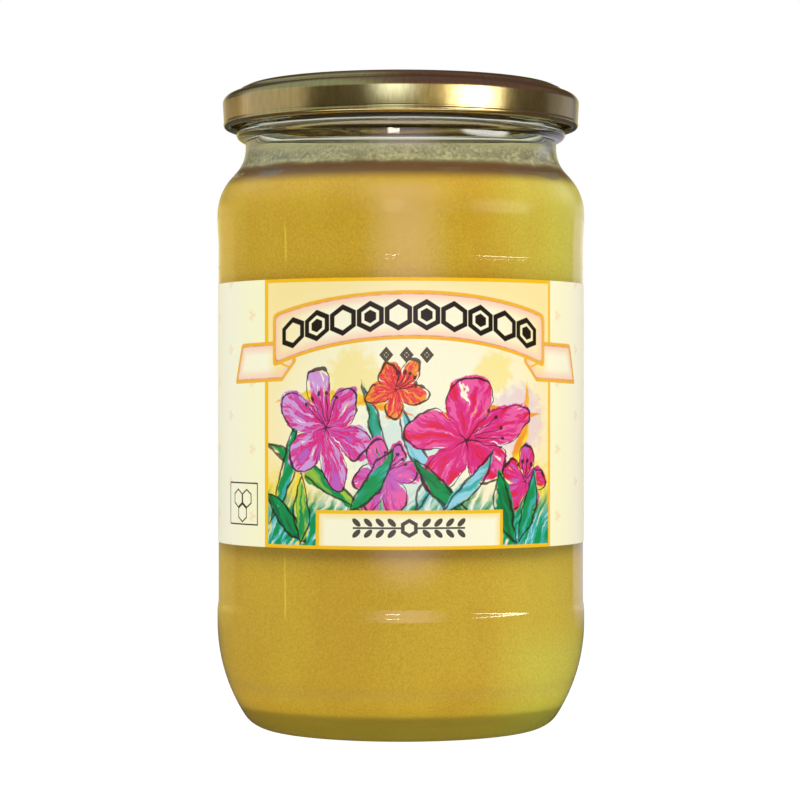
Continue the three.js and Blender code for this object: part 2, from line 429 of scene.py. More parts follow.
# Glass. Noise is counted per metre, here and in the honey and the lid.

GLASS_COLOUR = (0.98, 0.99, 0.95, 1)
GLASS_DEPTH_COLOUR = (0.6, 0.86, 0.55, 1)
GLASS_DENSITY = 14.0
GLASS_STRETCH = (1, 1, 0.45)
GLASS_WAVES = 60
GLASS_STIPPLE = 900
STIPPLE_SHARE = 0.02
STIPPLED_ROUGHNESS = 0.26


def ring_side(low, high, start):
    """The side of a contact ring: a short smooth step between the two radii of the body."""
    end = PANEL_RADIUS + BODY_RADIUS - start
    shares = [part / RING_STEP_PARTS for part in range(RING_STEP_PARTS + 1)]
    return [(start + (end - start) * smooth_step(share), low + (high - low) * share) for share in shares]


def glass_outline():
    """From the middle of the foot up the outside, over the rim and down to the floor inside."""
    push_up = [(PUSH_UP_RADIUS * out, PUSH_UP_HEIGHT * up) for out, up in PUSH_UP_CURVE]
    panel = [
        (BODY_RADIUS, LOWER_RING_TOP - EDGE_GAP), *ring_side(LOWER_RING_TOP, PANEL_BOTTOM, BODY_RADIUS),
        (PANEL_RADIUS, PANEL_BOTTOM + EDGE_GAP),
        *[(PANEL_RADIUS + swell, RIPPLE + rise) for rise, swell in RIPPLE_CURVE],
        (PANEL_RADIUS, PANEL_TOP - EDGE_GAP), *ring_side(PANEL_TOP, UPPER_RING_BOTTOM, PANEL_RADIUS),
        (BODY_RADIUS, UPPER_RING_BOTTOM + EDGE_GAP),
    ]
    shoulder = shoulder_curve(
        BODY_RADIUS, NECK_RADIUS, SHOULDER_BOTTOM, NECK_BOTTOM,
        SHOULDER_CURVE_RADIUS, NECK_CURVE_RADIUS, OUTER_CURVE_PARTS,
    )
    bead = arc((NECK_RADIUS, BEAD_CENTRE), BEAD_RADIUS - NECK_RADIUS, -90, 60, 18, BEAD_HALF_HEIGHT)
    rows = math.floor((THREAD_TOP - THREAD_ROOT) / THREAD_ROW)
    finish = [(FINISH_FOOT_RADIUS, FINISH_FOOT_HEIGHT)]
    finish += [(FINISH_RADIUS, THREAD_ROOT + row * THREAD_ROW) for row in range(rows + 1)]
    rim_centre = (FINISH_RADIUS - RIM_CURVE_RADIUS, RIM_HEIGHT - RIM_CURVE_RADIUS)
    rim = arc(rim_centre, RIM_CURVE_RADIUS, 0, 90, 8)
    mouth_centre = (MOUTH_RADIUS + MOUTH_CURVE_RADIUS, RIM_HEIGHT - MOUTH_CURVE_RADIUS)
    mouth = arc(mouth_centre, MOUTH_CURVE_RADIUS, 90, 180, 6)
    inside = [(BORE_RADIUS, BORE_TOP), *inner_shoulder()[::-1], *inner_floor_corner()[::-1]]
    outside = [*push_up, *heel_curve(), *panel, *shoulder, *bead, *finish, *rim, *mouth]
    return [*outside, *inside, (FLOOR_MIDDLE_RADIUS, FLOOR_MIDDLE_HEIGHT)]


def raise_threads(glass):
    """Swells six slanted threads out of the finish, each fading in and out at its ends."""
    step = 2 * math.pi / THREADS
    for vertex in glass.data.vertices:
        radius = math.hypot(vertex.co.x, vertex.co.y) / MM
        height = vertex.co.z / MM
        on_finish = THREAD_ROOT + SLACK < height < THREAD_TOP + SLACK
        if not on_finish or radius < FINISH_RADIUS - SLACK:
            continue
        angle = (math.atan2(vertex.co.y, vertex.co.x) + step / 2) % step - step / 2
        along = angle / THREAD_SPAN
        middle = THREAD_LOW + THREAD_RISE * (along + 0.5)
        ridge = 1 - smooth_step((abs(height - middle) - THREAD_CREST) / THREAD_HALF_THICKNESS)
        ends = 1 - smooth_step((abs(along) - THREAD_END_START) / THREAD_END_SHARE)
        share = 1 + (THREAD_RADIUS - FINISH_RADIUS) * ridge * ends / radius
        vertex.co.x *= share
        vertex.co.y *= share


def glass_material():
    """Clear and a little wavy. Its shoulder and its push-up are finely stippled, which softens
    what is seen in them and through them."""
    shader = new_shader("clear_glass")
    place = shader.place()
    z = place.parts()[2]
    waves = shader.noise(place.stretched(GLASS_STRETCH), GLASS_WAVES, 1.0)
    stipple = shader.noise(place, GLASS_STIPPLE, 1.0)
    height = waves + stipple * STIPPLE_SHARE
    bend = shader.between(z, (UPPER_RING_BOTTOM - 2) * MM, (SHOULDER_BOTTOM - 0.8) * MM)
    bend = bend * shader.between(z, NECK_BOTTOM * MM, (NECK_BOTTOM - 6) * MM)
    push_up = shader.between(z, PUSH_UP_HEIGHT * 1.6 * MM, PUSH_UP_HEIGHT * MM)
    depth = {"Color": GLASS_DEPTH_COLOUR, "Density": GLASS_DENSITY}
    absorbed = shader.node("VolumeAbsorption", {}, depth)
    return shader.surface(
        lets_light_in=True, volume=absorbed, Base_Color=GLASS_COLOUR,
        Roughness=(bend + push_up) * STIPPLED_ROUGHNESS, IOR=1.5, Transmission_Weight=1.0,
        Normal=shader.bump(height, 0.12 * MM, 0.5),
    )


def make_glass():
    glass = turned("glass", glass_outline())
    raise_threads(glass)
    return finished(glass, glass_material(), "glass", "jar_glass")


# Honey

HONEY_AMBER = linear(208, 162, 36)
HONEY_GOLD = linear(214, 172, 42)
# Colour of the painted light on the honey's right side
HONEY_RIGHT_LIGHT = linear(214, 198, 72)
# Colour of the painted shade band at the honey's level
HONEY_LEVEL_SHADE = linear(106, 72, 34)
# Colour of the painted streak of light on the honey
SEAM_STREAK_LIGHT = linear(242, 206, 70)
GRAIN_DARK = (0.9, 0.89, 0.84, 1)
GRAIN_LIGHT = (1.07, 1.07, 1.08, 1)
# Tint of the painted light at the honey's heel
HEEL_PAINTED_LIGHT = (1.5, 1.5, 1.4, 1)
WHITE = (1, 1, 1, 1)
FILM_DARK = linear(166, 154, 104)
FILM_PALE = linear(222, 212, 164)

HONEY_DRIFTS = 45
HONEY_GRAIN = 2000
FILM_BLOTS = 170
FILM_GRAIN = 1100

# Where painted light on the honey, to the right and at the heel, starts and where it is full, in metres
RIGHT_LIGHT_SPAN = (0.008, 0.042)
LOW_PART_MIDDLE = 0.037
LOW_PART = (0.02, 0.008)
HEEL_LIGHT_HEIGHT = (0.013, 0.0075)
HEEL_LIGHT_RADIUS = (0.035, 0.0375)

# Painted highlight: a streak of light on the honey, such as a mould seam in the glass would throw, on
# both
# # sides of the jar. It strays and breaks off as it runs up. Its foot is in metres, its width and its
# stray in millimetres.
SEAM_ANGLE = math.radians(-39)
SEAM_HALF_WIDTH = 0.45
SEAM_STRAY = 5
SEAM_WAVES = 24
SEAM_BREAKS = 60
SEAM_FOOT = (0.019, 0.023)

# The honey's top swells towards the wall and is domed in the middle, in millimetres
TOP_SWELL = 0.16
TOP_DOME = 0.2


def wall_split(height):
    """The wall's inside below and above a height, both with a point at that height."""
    wall = inner_shoulder(INTO_WALL)
    below = [point for point in wall if point[1] < height]
    above = wall[len(below):]
    share = (height - below[-1][1]) / (above[0][1] - below[-1][1])
    edge = (below[-1][0] + (above[0][0] - below[-1][0]) * share, height)
    return [*below, edge], [edge, *above]


def honey_outline():
    """From the middle of the floor up the wall, then down from the wetted edge to the level."""
    wet_top = HONEY_LEVEL + HONEY_CLIMB
    wall = wall_split(wet_top)[0]
    edge = wall[-1][0]
    return [
        (FLOOR_MIDDLE_RADIUS, FLOOR_MIDDLE_HEIGHT - INTO_WALL),
        *inner_floor_corner(INTO_WALL), *wall,
        (edge - HONEY_CLIMB_WIDTH * 0.15, wet_top - HONEY_CLIMB * 0.35),
        (edge - HONEY_CLIMB_WIDTH * 0.45, HONEY_LEVEL + HONEY_CLIMB * 0.2),
        (edge - HONEY_CLIMB_WIDTH, HONEY_LEVEL),
        *[(edge * part, HONEY_LEVEL) for part in HONEY_RINGS],
    ]


def honey_material():
    """Creamed honey: finely grained, in slow drifts of colour, with painted light that makes it paler
    and yellower to the right, a painted dark brown shade band at its level, and painted light at
    its heel, where light comes in under it."""
    shader = new_shader("creamed_honey")
    place = shader.place()
    x, y, z = place.parts()
    drifts = shader.noise(place.stretched((1, 1, 0.35)), HONEY_DRIFTS, 3.0, 0.55)
    grain = shader.noise(place, HONEY_GRAIN, 2.0, 0.65)
    base = shader.mix(HONEY_AMBER, HONEY_GOLD, shader.between(drifts + grain * 0.25, 0.45, 0.8))
    # Painted light: the honey turns paler and yellower towards the right, less so in its low part
    right_light = shader.between(x + (drifts - 0.5) * 0.03, *RIGHT_LIGHT_SPAN)
    low = shader.between(abs(z - LOW_PART_MIDDLE), *LOW_PART)
    colour = shader.mix(base, HONEY_RIGHT_LIGHT, right_light * (1 - low * 0.65))
    speckle = shader.mix(GRAIN_DARK, GRAIN_LIGHT, shader.between(grain, 0.3, 0.7))
    colour = shader.tint(colour, speckle)

    # Painted highlight: a thin streak of light running up the honey
    upwards = shader.join(0.0, 0.0, z)
    stray = shader.noise(upwards, SEAM_WAVES, 1.0) * SEAM_STRAY - SEAM_STRAY / 2
    off = abs((x * math.cos(SEAM_ANGLE) + y * math.sin(SEAM_ANGLE)) / MM + stray)
    seam_streak = shader.between(off, SEAM_HALF_WIDTH, 0.0)
    seam_streak = seam_streak * shader.between(shader.noise(upwards, SEAM_BREAKS, 1.0), 0.42, 0.5)
    seam_streak = seam_streak * shader.between(z, *SEAM_FOOT)
    colour = shader.mix(colour, SEAM_STREAK_LIGHT, seam_streak * 0.7)

    # Painted shade: a dark brown band at the honey's level, where its edge meets the wall
    level_shade = shader.between(z, (HONEY_LEVEL - 2.4) * MM, (HONEY_LEVEL + 0.2) * MM)
    colour = shader.mix(colour, HONEY_LEVEL_SHADE, level_shade)
    from_axis = place.stretched((1, 1, 0)).length()
    # Painted light: the honey's heel is lightened, where light comes in under it
    heel_light = shader.between(z, *HEEL_LIGHT_HEIGHT) * shader.between(from_axis, *HEEL_LIGHT_RADIUS)
    colour = shader.tint(colour, shader.mix(WHITE, HEEL_PAINTED_LIGHT, heel_light))
    return shader.surface(
        Base_Color=colour, Roughness=0.45, Normal=shader.bump(grain, 0.05 * MM, 0.4),
    )


def make_honey():
    honey = turned("honey", honey_outline())
    for vertex in honey.data.vertices:
        if vertex.co.z > (HONEY_LEVEL - SLACK) * MM:
            angle = math.atan2(vertex.co.y, vertex.co.x)
            reach = math.hypot(vertex.co.x, vertex.co.y) / (BORE_RADIUS * MM)
            waves = math.sin(3 * angle + 0.7) + 0.6 * math.sin(7 * angle + 2) + 0.4 * math.sin(16 * angle)
            dome = math.cos(4 * reach + 2 * angle) * 0.5
            vertex.co.z += (TOP_SWELL * waves * reach + TOP_DOME * dome * (1 - reach)) * MM
    return finished(honey, honey_material(), "honey", "honey")


def film_material():
    """A smear of honey, blotched and thin, with a painted dark brown shade band, drawn nearly opaque,
    where it meets the honey's edge.
    """
    shader = new_shader("smeared_honey")
    place = shader.place()
    blots = shader.noise(place.stretched((1, 1, 1.6)), FILM_BLOTS, 4.0, 0.62)
    fine = shader.noise(place, FILM_GRAIN, 3.0, 0.6)
    z = place.parts()[2]
    ragged = z + (blots - 0.5) * 4 * MM
    fade = shader.between(ragged, (INNER_SHOULDER_TOP - 0.6) * MM, (INNER_SHOULDER_TOP - 2.2) * MM)
    cover = shader.between(blots + (fine - 0.5) * 0.35, 0.36, 0.66) * fade
    colour = shader.mix(FILM_DARK, FILM_PALE, shader.between(fine, 0.3, 0.7))
    uneven = z + (blots - 0.5) * 1.5 * MM
    # Painted shade: the film turns dark brown and nearly opaque just above the honey's level
    film_level_shade = shader.between(uneven, (HONEY_LEVEL + 3.2) * MM, (HONEY_LEVEL + 1.4) * MM)
    colour = shader.mix(colour, HONEY_LEVEL_SHADE, film_level_shade)
    low = shader.between(z, (HONEY_LEVEL + 4.4) * MM, (HONEY_LEVEL + 3) * MM)
    alpha = (cover * 0.7 + fade * 0.15).math("MAXIMUM", low * 0.7).math("MAXIMUM", film_level_shade * 0.96)
    return shader.surface(
        Base_Color=colour, Roughness=0.35, Alpha=alpha, Normal=shader.bump(blots, 0.2 * MM, 0.6),
    )


def make_film():
    wall = wall_split(HONEY_LEVEL + HONEY_CLIMB)[1]
    inner = [(radius - FILM_THICKNESS, height) for radius, height in wall]
    film = turned("honey_film", wall + inner[::-1] + wall[:1], closed=True)
    return finished(film, film_material(), "honey")


# Lid

LACQUER_DEEP = linear(214, 182, 100)
LACQUER_PALE = linear(228, 198, 118)
LACQUER_SPECKLE = 2600
LACQUER_DULL = 55

# Streaks run round the lid. They are counted per radian, and a metre of height counts as this
# many radians.
LACQUER_STREAKS = 42
STREAKS_UPWARDS = 6


def lid_outline():
    """From the middle of the underside out to the rolled foot, then up and over to the middle."""
    curl = (CURL_OUTER_RADIUS - CURL_RADIUS, LID_BOTTOM + CURL_RADIUS)
    corner = (SKIRT_TOP_RADIUS - CORNER_WIDTH, CORNER_BOTTOM)
    button_top = CENTRE_PANEL_HEIGHT + BUTTON_RISE
    underside = [
        (BUTTON_RADIUS * 0.5, button_top - SHEET),
        (BUTTON_RADIUS, button_top - SHEET),
        (BUTTON_RADIUS + BUTTON_SLOPE, CENTRE_PANEL_HEIGHT - SHEET),
        (CENTRE_PANEL_RADIUS, CENTRE_PANEL_HEIGHT - SHEET),
        (LINER_INNER_RADIUS, LINER_BOTTOM),
        (LINER_OUTER_RADIUS, LINER_BOTTOM),
        (LINER_OUTER_RADIUS + 0.6, CORNER_BOTTOM + CORNER_HEIGHT - SHEET - 0.5),
        (SKIRT_TOP_RADIUS - SHEET - 1, CORNER_BOTTOM + CORNER_HEIGHT * 0.6 - SHEET),
        (SKIRT_TOP_RADIUS - SHEET, CORNER_BOTTOM),
        (SKIRT_BOTTOM_RADIUS - SHEET, LID_BOTTOM + 2 * CURL_RADIUS),
    ]
    foot = [
        *arc(curl, CURL_RADIUS, 90, 390, 30),
        (SKIRT_BOTTOM_RADIUS - 0.02, LID_BOTTOM + CURL_RADIUS * 1.75),
        (SKIRT_BOTTOM_RADIUS, LID_BOTTOM + CURL_RADIUS * 2.1),
    ]
    crest = [(CREST_RADIUS + out, CREST_HEIGHT - down) for out, down in CREST_CURVE]
    middle = [
        (CENTRE_PANEL_RADIUS + 0.5, CENTRE_PANEL_HEIGHT + 0.08),
        (CENTRE_PANEL_RADIUS, CENTRE_PANEL_HEIGHT),
        (BUTTON_RADIUS + BUTTON_SLOPE, CENTRE_PANEL_HEIGHT),
        (BUTTON_RADIUS + BUTTON_SLOPE * 0.8, CENTRE_PANEL_HEIGHT + BUTTON_RISE * 0.1),
        (BUTTON_RADIUS + BUTTON_SLOPE * 0.2, button_top - BUTTON_RISE * 0.1),
        (BUTTON_RADIUS, button_top),
        (BUTTON_RADIUS * 0.5, button_top),
    ]
    return [*underside, *foot, *arc(corner, CORNER_WIDTH, 0, 82, 18, CORNER_HEIGHT), *crest, *middle]


def press_lugs(lid):
    """Presses the rolled foot inwards at six places, where it grips the glass threads."""
    middle = CURL_OUTER_RADIUS - CURL_RADIUS
    step = 2 * math.pi / LUGS
    for vertex in lid.data.vertices:
        radius = math.hypot(vertex.co.x, vertex.co.y) / MM
        height = vertex.co.z / MM
        if height > LID_BOTTOM + 2 * CURL_RADIUS + SLACK or radius > middle:
            continue
        angle = math.atan2(vertex.co.y, vertex.co.x) - math.pi / 2
        off = abs((angle + step / 2) % step - step / 2)
        push = LUG_REACH * (1 - smooth_step((off - LUG_FULL_ANGLE) / LUG_END_ANGLE))
        push *= (middle - radius) / CURL_RADIUS
        share = (radius - push) / radius
        vertex.co.x *= share
        vertex.co.y *= share


def lid_material():
    """Gold lacquer on tinplate, with faint streaks round the lid."""
    shader = new_shader("gold_lacquer")
    place = shader.place()
    x, y, z = place.parts()
    around = shader.join(y.math("ARCTAN2", x), z * STREAKS_UPWARDS)
    streaks = shader.noise(around, LACQUER_STREAKS, 3.0, 0.6)
    speckle = shader.noise(place, LACQUER_SPECKLE, 1.0)
    dull = shader.noise(place, LACQUER_DULL, 3.0, 0.6)
    colour = shader.mix(LACQUER_DEEP, LACQUER_PALE, shader.between(streaks, 0.3, 0.7))
    return shader.surface(
        Base_Color=colour, Metallic=1.0, Coat_Weight=1.0, Coat_Roughness=0.08,
        Roughness=0.15 + dull * 0.06 + streaks * 0.05,
        Normal=shader.bump(speckle * 0.35 + streaks * 0.2, 0.005 * MM, 0.5),
    )


def make_lid():
    lid = turned("lid", lid_outline())
    press_lugs(lid)
    return finished(lid, lid_material(), "lid", "lid", sharp=50)


# Label. Places on it are in millimetres: along from the middle of the front, to the right,
# and up from the label's foot. Noise is counted per millimetre.

FRONT_LEFT = -34.8
FRONT_RIGHT = 39.7
FRAME_LINE = 0.8
FRAME_LEFT_LINE = 1.1

# How soft a printed or painted edge is, and how wide the pen's line is
CRISP = 0.12
LEAF_EDGE = 0.35
PETAL_EDGE = 0.4
LEAF_LINE = 0.5
PETAL_LINE = 0.62

# The unsteady hands of the brush and the pen: each wave's count and how far it moves a point,
# and what sets the two apart
BRUSH_HAND = ((0.15, 3.6), (0.8, 0.9), 11)
PEN_HAND = ((0.13, 3.4), (0.6, 0.6), 47)

# Ribbon. It arches up in the middle, and its ends are folded behind it.
RIBBON_MIDDLE = 2.65
RIBBON_TOP = 58.6
RIBBON_TOP_ARCH = 0.0042
RIBBON_FOOT = 47.6
RIBBON_FOOT_ARCH = 0.0052
RIBBON_HALF_LENGTH = 34.8
RIBBON_ROUNDING = 2.2
RIBBON_RIM = 0.7
RIBBON_BLUSH = (-3.4, -0.8)
RIBBON_RUST = (-1.1, -0.75)
RIBBON_SHADE = (16, 36)
TAIL_MIDDLE = 42.5
TAIL_HALF_WIDTH = 4.6
TAIL_REACH = 48.0
TAIL_SLANT = 0.35
TAIL_START = 28.0
TAIL_START_SLANT = 0.9
TAIL_LEVEL_AT = 40
TAIL_SLOPE = 0.03
TAIL_ROUNDING = 1.2
CREASE_LIFT = 0.6
CREASE_SLANT = 0.35
CREASE_HALF_WIDTH = 0.22

# Cells on the ribbon. Where a cell has no core, the core is moved out of sight.
CELL = 6.4
CELL_COUNT = 10
CELL_HALF_GAP = 0.1
CELL_HALF_LINE = 0.55
CORE_INSET = 1.75
OUT_OF_SIGHT = 9

# Three diamonds under it
DIAMONDS_ALONG = 1.3
DIAMONDS_UP = 44.0
DIAMOND_HALF_PITCH = 2.3
DIAMOND_HALF_WIDTH = 1.6
DIAMOND_HEART = 0.55
DIAMOND_SLANT = 0.85
DIAMOND_ROW_HALF_LENGTH = 6.9

# Plaque at the foot, and its garland. A leaf's turn is a cosine and a sine.
PLAQUE_MIDDLE = 2.25
PLAQUE_HALF_LENGTH = 22.25
PLAQUE_HEIGHT = 8.9
PLAQUE_SHADE = (-0.8, -2.6)
GARLAND_OFF_MIDDLE = 0.35
GARLAND_UP = 4.9
GARLAND_START = 2.6
LEAF_PITCH = 2.7
LEAF_PAIRS = 4
LEAF_LIFT = 1.25
LEAF_TURN_ALONG = 0.72
LEAF_TURN_UP = 0.69
LEAF_ROUNDNESS = 1.45
STEM_HALF_WIDTH = 0.22
FLOWER_APOTHEM = 1.9
FLOWER_RIM = 0.85

# Sprigs round the sides and the back
SPRIG_COLUMN = 10.3
SPRIG_ROW = 15.5

# Small frame of three cells on the left side panel
MARK_TO_LEFT = 43.7
MARK_UP = 9.8
MARK_HALF_WIDTH = 6.2
MARK_HALF_HEIGHT = 4.8
MARK_HALF_LINE = 0.16
MARK_CELL = 1.8
MARK_CELL_ASIDE = 1.95
MARK_CELL_RAISED = 1.2
MARK_CELL_LOWERED = 2.15
MARK_CELL_HALF_LINE = 0.17

# Ground: pale in the middle of the picture, and paler again well beside the front
GROUND_MIDDLE = (3, 30)
GROUND_SIZE = 42
GROUND_SQUASH = 0.8
MARGIN_FADE = (40, 54)

# Where one ink turns into the next, and where the brush leaves the paper bare, as values of the
# noise that the strokes come from
LEAF_INKS = (0.4, 0.58)
LEAF_BARE = (0.66, 0.7)
PETAL_INKS = (0.38, 0.48)
PETAL_THIRD_INK = (0.58, 0.66)
PETAL_BARE = (0.68, 0.71)
GRASS_INKS = (0.42, 0.5)
GRASS_THIRD_INK = (0.54, 0.6)
GRASS_BARE = (0.6, 0.63)
GRASS_TURN = 62
GRASS_RAGGED = 12
GRASS_TOP = (21, 13)

GOLD = linear(250, 194, 14)
AMBER = linear(248, 184, 38)
RUST = linear(214, 84, 22)
BLUSH = linear(255, 204, 176)
CREAM = linear(255, 250, 214)
STRAW = linear(254, 232, 158)
CHALK = linear(255, 250, 220)
BUTTER = linear(255, 250, 204)
SEPIA = linear(38, 26, 12)
UMBER = linear(84, 74, 52)
PEACH = linear(250, 214, 160)

MAGENTA = linear(224, 44, 128)
PINK = linear(240, 96, 160)
VIOLET = linear(196, 98, 190)
LILAC = linear(214, 160, 218)
CRIMSON = linear(230, 30, 58)
CORAL = linear(240, 92, 76)
ORANGE = linear(246, 150, 34)
SUN = linear(250, 222, 52)
LEAF = linear(6, 150, 76)
MOSS = linear(24, 112, 62)
LIME = linear(168, 206, 62)
TEAL = linear(58, 178, 164)
SKY = linear(150, 214, 226)


class Sheet:
    """Inks laid on paper, one over another. The brush and the pen each have a hand of their
    own, so that outlines stray from the colour that they go round."""

    def __init__(self, shader, along, up, ground):
        self.shader = shader
        self.along = along
        self.up = up
        self.paper = shader.join(along, up)
        self.brush = self.unsteady(*BRUSH_HAND)
        self.pen = self.unsteady(*PEN_HAND)
        self.pressure = shader.noise(self.paper, 0.55, 2.0)
        self.colour = ground

    def unsteady(self, slow, quick, seed):
        """The place on the paper, moved by two waves. It is worked out as plain numbers, which
        keeps the print small."""
        x, y = self.along, self.up
        for count, travel in (slow, quick):
            drift = self.shader.noise(self.paper.moved((seed, seed, 0)), count, 1.0, output="Color")
            split = self.shader.node("SeparateColor", {}, (drift,)).socket.node.outputs
            x = x + Field(self.shader, split[0]).math("MULTIPLY_ADD", travel, -travel / 2)
            y = y + Field(self.shader, split[1]).math("MULTIPLY_ADD", travel, -travel / 2)
        return self.shader.join(x, y)

    def local(self, hand, centre, turn, size, squash=1.0):
        """The place seen from a centre, turned by degrees, in units of a size."""
        inputs = {
            "Vector": hand, "Location": (*centre, 0), "Rotation": (0, 0, math.radians(turn)),
            "Scale": (size, size * squash, 1),
        }
        return self.shader.node("Mapping", {"vector_type": "TEXTURE"}, inputs)

    def lay(self, ink, share):
        self.colour = self.shader.mix(self.colour, ink, share)

    def span(self, value, low, high):
        """1 between two values."""
        middle = (low + high) / 2
        return self.shader.inside(abs(value - middle) - (high - low) / 2, CRISP)


def wash(sheet, centre, size, ink, strength, squash=1.0):
    """A wet blot of colour with a soft, uneven edge."""
    near = sheet.local(sheet.brush, centre, 0, size, squash)
    ragged = near.length() + (sheet.pressure - 0.5) * 0.8
    sheet.lay(ink, sheet.shader.between(ragged, 1.0, 0.55) * strength)


def leaf(sheet, foot, turn, length, width, bend, inks, outlined=True):
    """A long leaf or a stroke of the brush, from its foot, with its spine bent sideways. It is
    drawn in shares of its length."""
    shader = sheet.shader
    half = 2 * width / length

    def outside(hand):
        near = sheet.local(hand, foot, turn, length)
        x, y = near.flat()
        square = x * x
        side = square.math("MULTIPLY_ADD", -bend, y)
        return near, abs(side) - (x - square) * half

    near, away = outside(sheet.brush)
    strokes = shader.noise(near.stretched((1.4, 11, 1)).moved((*foot, 0)), 1.0, 2.0)
    ink = shader.mix(inks[0], inks[1], shader.between(strokes, *LEAF_INKS))
    bare = 1 - shader.between(strokes, *LEAF_BARE)
    sheet.lay(ink, shader.inside(away, LEAF_EDGE / length) * bare)
    if outlined:
        _, away = outside(sheet.pen)
        line = abs(away) - sheet.pressure * (LEAF_LINE / length)
        sheet.lay(SEPIA, shader.inside(line, CRISP / length) * 0.85)


# A flower, in shares of its size: how narrow it is between two petals, how full the petals are,
# and its stamens, from the heart out to their dots. The stamens' pitch and spread are in radians.
PETAL_WAIST = 0.34
PETAL_FULLNESS = 0.5
STAMEN_PITCH = 0.17
STAMEN_SPREAD = 0.85
STAMEN_FOOT = 0.12
STAMEN_END = 0.6
STAMEN_DOT = 0.58


def blossom(sheet, centre, size, petals, turn, inks, squash):
    """An open flower: lobed colour with strokes out of its heart, then a pen outline, the
    clefts between its petals, and stamens with dots at their ends."""
    shader = sheet.shader

    def lobes(hand):
        near = sheet.local(hand, centre, turn, size, squash)
        x, y = near.flat()
        reach = near.length()
        angle = y.math("ARCTAN2", x)
        ridge = abs((angle * (petals / 2)).math("COSINE"))
        way = near.vector("NORMALIZE")
        uneven = shader.noise(way.moved((*centre, 0)), 1.1, 1.0)
        full = (ridge ** PETAL_FULLNESS).math("MULTIPLY_ADD", 1 - PETAL_WAIST, PETAL_WAIST)
        edge = full * (uneven + 0.52)
        return near, way, reach, edge, angle, ridge

    near, way, reach, edge, _, _ = lobes(sheet.brush)
    outwards = way.vector("MULTIPLY_ADD", (3.2, 3.2, 0), near.moved((*centre, 0)))
    strokes = shader.noise(outwards, 1.5, 3.0, 0.6)
    ink = shader.mix(inks[0], inks[1], shader.between(strokes, *PETAL_INKS))
    ink = shader.mix(ink, inks[2], shader.between(strokes + reach * 0.14, *PETAL_THIRD_INK))
    bare = 1 - shader.between(strokes + reach * 0.06, *PETAL_BARE)
    sheet.lay(ink, shader.inside(reach - edge, PETAL_EDGE / size) * bare)

    _, _, reach, edge, angle, ridge = lobes(sheet.pen)
    outline = abs(reach - edge * 0.97) - sheet.pressure * (PETAL_LINE / size)
    cleft = (ridge * reach).math("MULTIPLY_ADD", 2 / petals, reach * 0.06 - PETAL_WAIST * 0.045)
    line = outline.math("MINIMUM", cleft)
    fan = angle.math("WRAP", STAMEN_PITCH, -STAMEN_PITCH) * reach
    within = (abs(angle) - STAMEN_SPREAD).math("MAXIMUM", reach - STAMEN_END)
    stalk = (abs(fan) - 0.13 / size).math("MAXIMUM", within).math("MAXIMUM", STAMEN_FOOT - reach)
    dot = fan * fan + (reach - STAMEN_DOT) ** 2 - (0.5 / size) ** 2
    dot = dot.math("MAXIMUM", abs(angle) - STAMEN_SPREAD) * (size * 0.6)
    line = line.math("MINIMUM", stalk).math("MINIMUM", dot)
    sheet.lay(SEPIA, shader.inside(line, CRISP / size) * 0.9)


def ribbon(sheet):
    """A banner arched across the front, with its ends folded behind it. Returns the place along
    it from its middle, and how high its middle line is there."""
    shader = sheet.shader
    rel = sheet.along - RIBBON_MIDDLE
    side = abs(rel)
    square = rel * rel
    top = square.math("MULTIPLY_ADD", -RIBBON_TOP_ARCH, RIBBON_TOP)
    foot = square.math("MULTIPLY_ADD", -RIBBON_FOOT_ARCH, RIBBON_FOOT)
    middle = (top + foot) * 0.5
    band = (side - RIBBON_HALF_LENGTH).math(
        "SMOOTH_MAX", abs(sheet.up - middle) - (top - foot) * 0.5, RIBBON_ROUNDING,
    )
    height = sheet.up - TAIL_MIDDLE
    outer = side + height * TAIL_SLANT - TAIL_REACH
    inner = TAIL_START - side - height.math("MINIMUM", 0.0) * TAIL_START_SLANT
    edges = abs(height + (side - TAIL_LEVEL_AT) * TAIL_SLOPE) - TAIL_HALF_WIDTH
    tail = outer.math("SMOOTH_MAX", edges, TAIL_ROUNDING)
    tail = tail.math("MAXIMUM", inner)

    fold = height - CREASE_LIFT - (side - RIBBON_HALF_LENGTH) * CREASE_SLANT
    crease = (abs(fold) - CREASE_HALF_WIDTH).math("MAXIMUM", side - RIBBON_HALF_LENGTH)
    behind = shader.between(side, RIBBON_HALF_LENGTH + 2.5, RIBBON_HALF_LENGTH - 2)
    for shape, low_light in ((tail, behind), (band, shader.between(side, *RIBBON_SHADE) * 0.8)):
        sheet.lay(AMBER, shader.inside(shape, CRISP))
        fill = shader.mix(CREAM, STRAW, low_light)
        fill = shader.mix(fill, BLUSH, shader.between(shape, *RIBBON_BLUSH) * 0.75)
        fill = shader.mix(fill, RUST, shader.between(shape, *RIBBON_RUST) * sheet.pressure * 1.1)
        sheet.lay(fill, shader.inside(shape + RIBBON_RIM, 0.2))
        if shape is tail:
            sheet.lay(AMBER, shader.inside(crease.math("MAXIMUM", shape), CRISP))
    return rel, middle


def hexagon(x, y, apothem):
    """Distance outside a hexagon that stands on a corner, from its middle."""
    return abs(x).math("MAXIMUM", abs(x) * 0.5 + abs(y) * 0.866) - apothem


def honeycomb(sheet, rel, height):
    """A chain of cells, every other one with a core, in the banner."""
    shader = sheet.shader
    count = rel / CELL
    x = (count.math("FRACT") - 0.5) * CELL
    cell = hexagon(x, height, CELL / 2 - CELL_HALF_GAP)
    ring = abs(cell + CELL_HALF_LINE) - CELL_HALF_LINE
    core = cell + CORE_INSET
    other = (count * 0.5).math("FRACT").math("GREATER_THAN", 0.5)
    core = core + other * OUT_OF_SIGHT
    dark = ring.math("MINIMUM", core)
    chain = dark.math("MAXIMUM", abs(rel) - CELL * CELL_COUNT / 2)
    sheet.lay(SEPIA, shader.inside(chain, CRISP))


